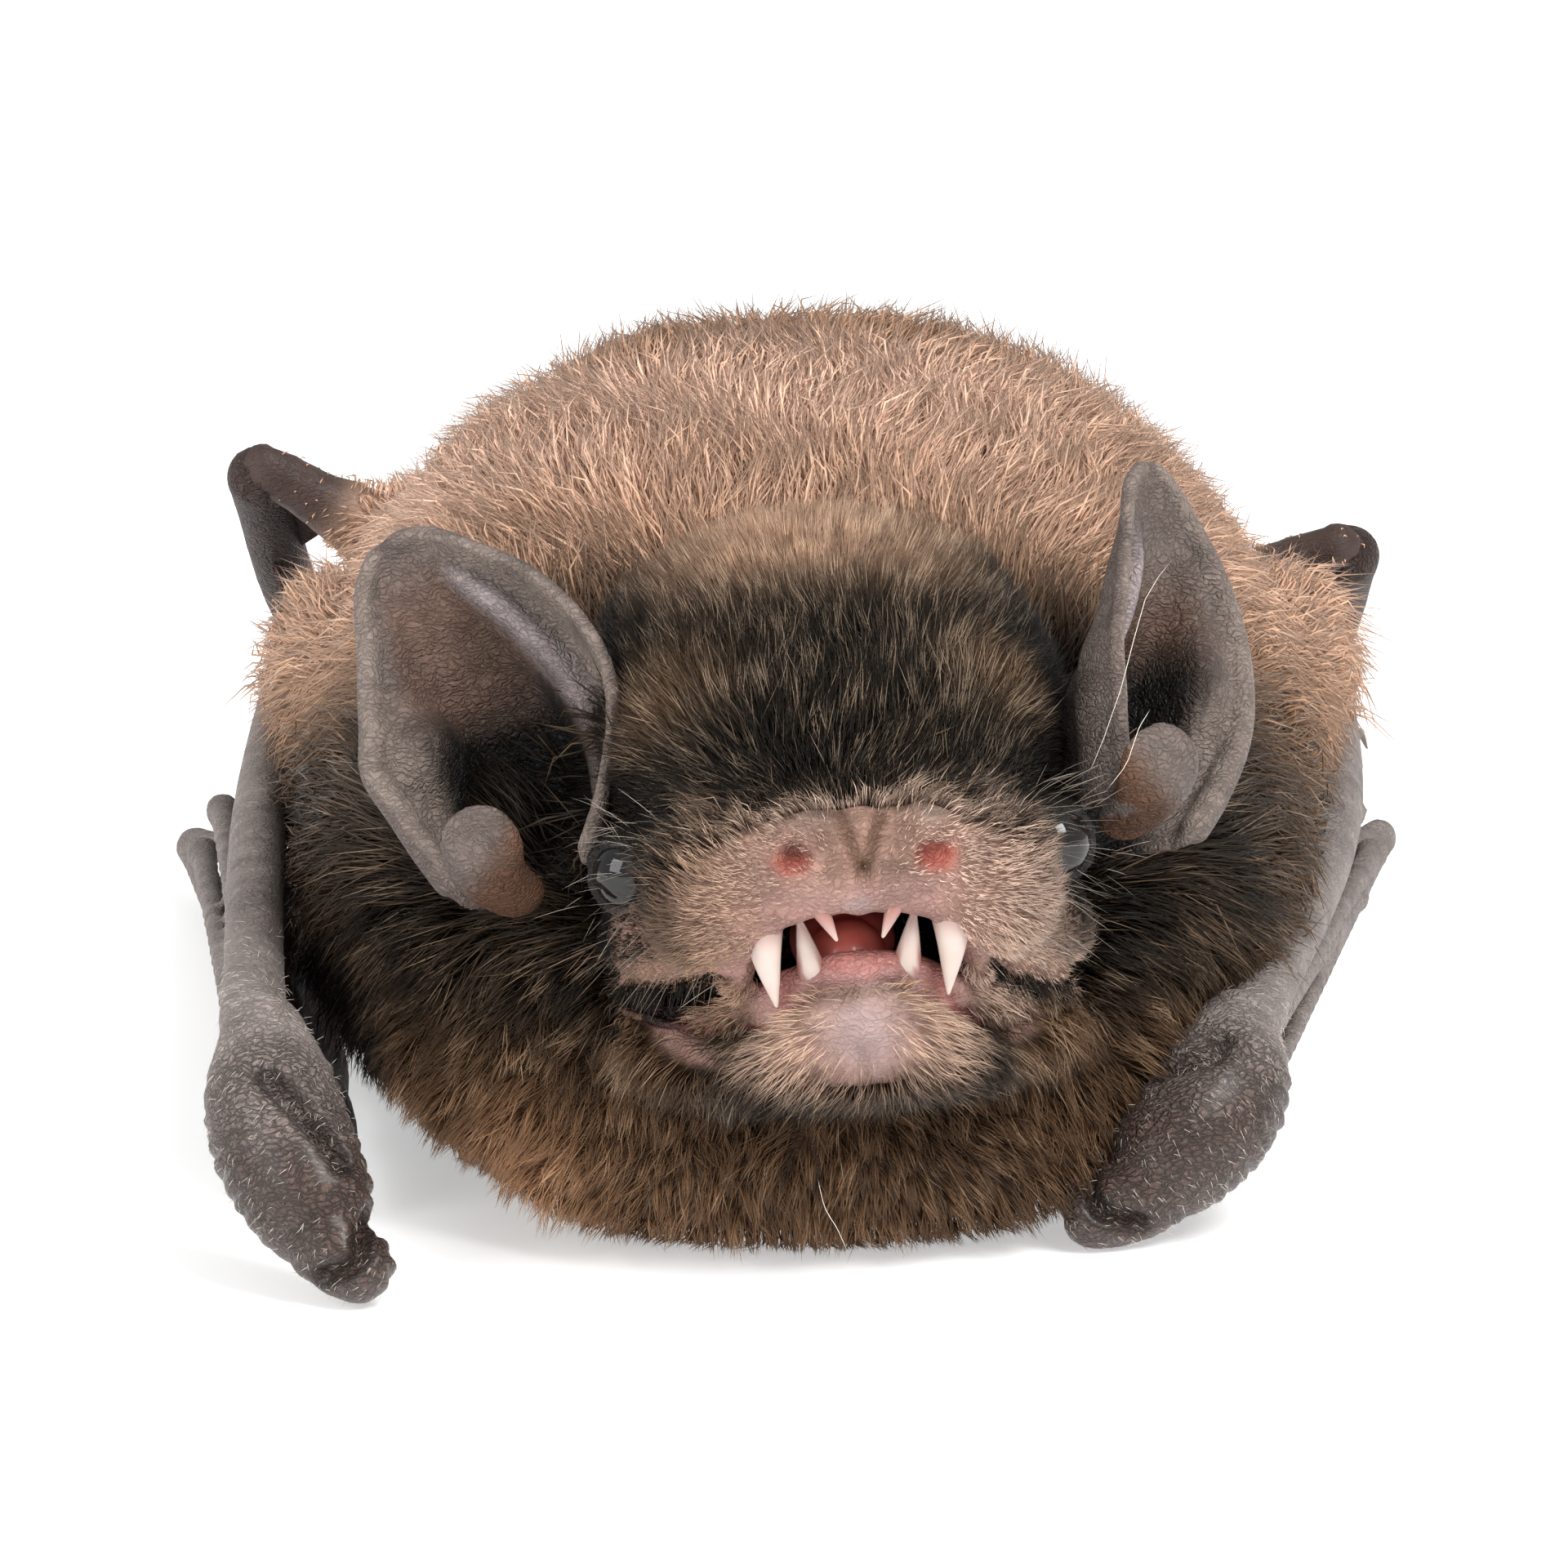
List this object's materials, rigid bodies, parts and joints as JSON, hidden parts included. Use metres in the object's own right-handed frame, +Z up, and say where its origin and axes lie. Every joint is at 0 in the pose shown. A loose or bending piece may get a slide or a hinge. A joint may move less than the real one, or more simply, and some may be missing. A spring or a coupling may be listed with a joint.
{
  "type": "crouching bat model",
  "caption": "Life-size still model of a small brown bent-wing bat crouching on the floor with folded wings, upright ears and open mouth.",
  "frame": {"origin": "middle of the flat on which the belly rests, on the floor plane", "axes": "+X to the bat's own left, +Y from nose to tail, +Z up; the bat faces -Y"},
  "size_m": [0.0356, 0.0821, 0.0193],
  "materials": {
    "fur": "matte dense fur",
    "face_skin": "satin bare skin",
    "bare_skin": "matte wrinkled skin",
    "membrane": "satin wing skin",
    "eye": "wet gloss",
    "tongue": "wet satin",
    "horn": "satin"
  },
  "bodies": {
    "root": {"head": "fur", "lower_jaw": "face_skin", "tongue": "tongue", "neck": "fur", "trunk": "fur", "tail": "bare_skin", "left_eye": "eye", "left_tragus": "bare_skin", "left_ear": "bare_skin", "left_thumb": "bare_skin", "left_thumb_claw": "horn", "left_hand": "bare_skin", "left_forearm": "bare_skin", "left_upper_arm": "fur", "left_hand_bones": "bare_skin", "left_finger_tip": "bare_skin", "left_foot": "bare_skin", "left_shin": "bare_skin", "left_thigh": "fur", "left_arm_membrane": "membrane", "left_side_membrane": "membrane", "left_tail_membrane": "membrane", "right_eye": "eye", "right_tragus": "bare_skin", "right_ear": "bare_skin", "right_thumb": "bare_skin", "right_thumb_claw": "horn", "right_hand": "bare_skin", "right_forearm": "bare_skin", "right_upper_arm": "fur", "right_hand_bones": "bare_skin", "right_finger_tip": "bare_skin", "right_foot": "bare_skin", "right_shin": "bare_skin", "right_thigh": "fur", "right_arm_membrane": "membrane", "right_side_membrane": "membrane", "right_tail_membrane": "membrane"}
  },
  "joints": []
}
